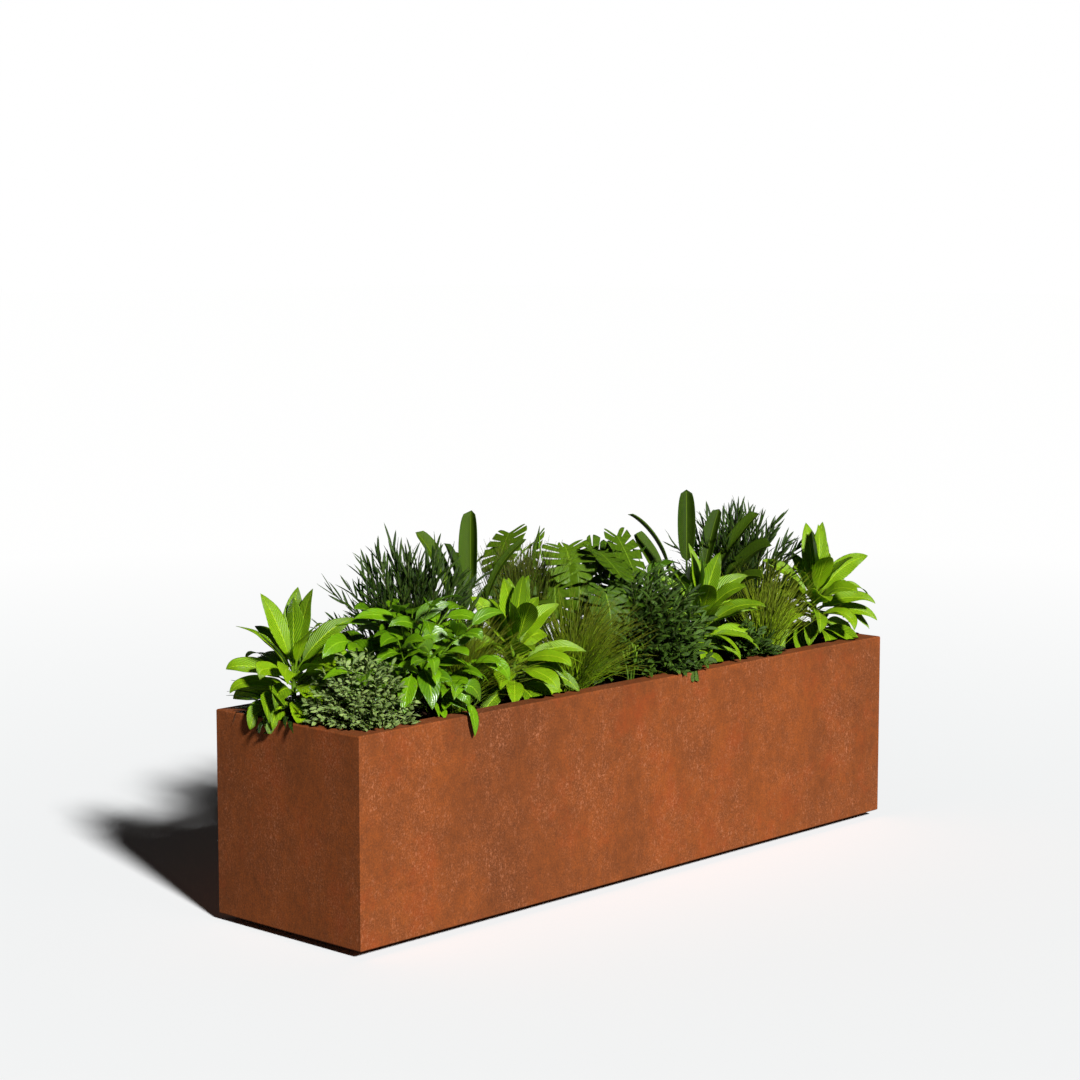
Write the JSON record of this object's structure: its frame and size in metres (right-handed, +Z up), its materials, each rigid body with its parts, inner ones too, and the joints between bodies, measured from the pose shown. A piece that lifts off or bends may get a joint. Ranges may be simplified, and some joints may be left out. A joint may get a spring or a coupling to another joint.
{
  "type": "planter box",
  "caption": "Long weathering-steel planter box with an inward rim, raised on levelling feet, filled with soil and planted in two rows of mixed foliage.",
  "frame": {"origin": "middle of the footprint, on the ground under the feet", "axes": "+X along the length, +Y from the front to the back, +Z up"},
  "size_m": [2, 0.5, 0.949],
  "materials": {
    "corten_wall": "matte",
    "corten_inner": "matte",
    "zinc_fastener": "satin",
    "black_plastic": "matte",
    "clay_pebbles": "matte",
    "white_fleece": "matte",
    "dark_soil": "matte",
    "bark": "matte",
    "silver_leaf": "satin",
    "glossy_leaf": "satin",
    "grass_blade": "satin",
    "lime_leaf": "satin",
    "fine_dark_leaf": "satin",
    "feather_leaf": "satin",
    "paddle_leaf": "satin",
    "split_leaf": "satin"
  },
  "bodies": {
    "planter": {"front_panel": "corten_wall", "back_panel": "corten_wall", "left_panel": "corten_wall", "right_panel": "corten_wall", "rim_gussets": "corten_inner", "base_plate": "corten_inner", "bearer_left": "corten_inner", "bearer_middle": "corten_inner", "bearer_right": "corten_inner", "base_bar_front": "corten_inner", "base_bar_back": "corten_inner", "wall_ribs_front": "corten_inner", "wall_ribs_back": "corten_inner", "cross_tie_left": "corten_inner", "cross_tie_middle": "corten_inner", "cross_tie_right": "corten_inner", "tie_bolts": "zinc_fastener", "tie_nuts": "zinc_fastener", "weld_nuts": "zinc_fastener", "lock_nuts": "zinc_fastener", "drain_outlets": "black_plastic", "drainage_pebbles": "clay_pebbles", "filter_fleece": "white_fleece", "potting_soil": "dark_soil", "bark_mulch": "bark", "silver_shrub": "silver_leaf", "glossy_plant": "glossy_leaf", "olive_grass": "grass_blade", "lime_rosette_front_left": "lime_leaf", "arching_grass": "grass_blade", "fine_shrub": "fine_dark_leaf", "lime_rosette_front_middle": "lime_leaf", "low_shrub": "fine_dark_leaf", "light_grass": "grass_blade", "lime_rosette_front_right": "lime_leaf", "lime_rosette_back_left": "lime_leaf", "feather_shrub_left": "feather_leaf", "paddle_plant_left": "paddle_leaf", "tall_grass": "grass_blade", "split_leaf_plant": "split_leaf", "laurel": "glossy_leaf", "paddle_plant_right": "paddle_leaf", "feather_shrub_right": "feather_leaf"},
    "foot_front_left": {"foot_pad_front_left": "black_plastic", "foot_stud_front_left": "zinc_fastener"},
    "foot_front_middle": {"foot_pad_front_middle": "black_plastic", "foot_stud_front_middle": "zinc_fastener"},
    "foot_front_right": {"foot_pad_front_right": "black_plastic", "foot_stud_front_right": "zinc_fastener"},
    "foot_back_left": {"foot_pad_back_left": "black_plastic", "foot_stud_back_left": "zinc_fastener"},
    "foot_back_middle": {"foot_pad_back_middle": "black_plastic", "foot_stud_back_middle": "zinc_fastener"},
    "foot_back_right": {"foot_pad_back_right": "black_plastic", "foot_stud_back_right": "zinc_fastener"}
  },
  "joints": [
    {"name": "foot_front_left_slide", "type": "slide", "parent": "planter", "child": "foot_front_left", "axis": [0, 0, -1], "range_m": [0, 0.015]},
    {"name": "foot_front_middle_slide", "type": "slide", "parent": "planter", "child": "foot_front_middle", "axis": [0, 0, -1], "range_m": [0, 0.015]},
    {"name": "foot_front_right_slide", "type": "slide", "parent": "planter", "child": "foot_front_right", "axis": [0, 0, -1], "range_m": [0, 0.015]},
    {"name": "foot_back_left_slide", "type": "slide", "parent": "planter", "child": "foot_back_left", "axis": [0, 0, -1], "range_m": [0, 0.015]},
    {"name": "foot_back_middle_slide", "type": "slide", "parent": "planter", "child": "foot_back_middle", "axis": [0, 0, -1], "range_m": [0, 0.015]},
    {"name": "foot_back_right_slide", "type": "slide", "parent": "planter", "child": "foot_back_right", "axis": [0, 0, -1], "range_m": [0, 0.015]}
  ]
}
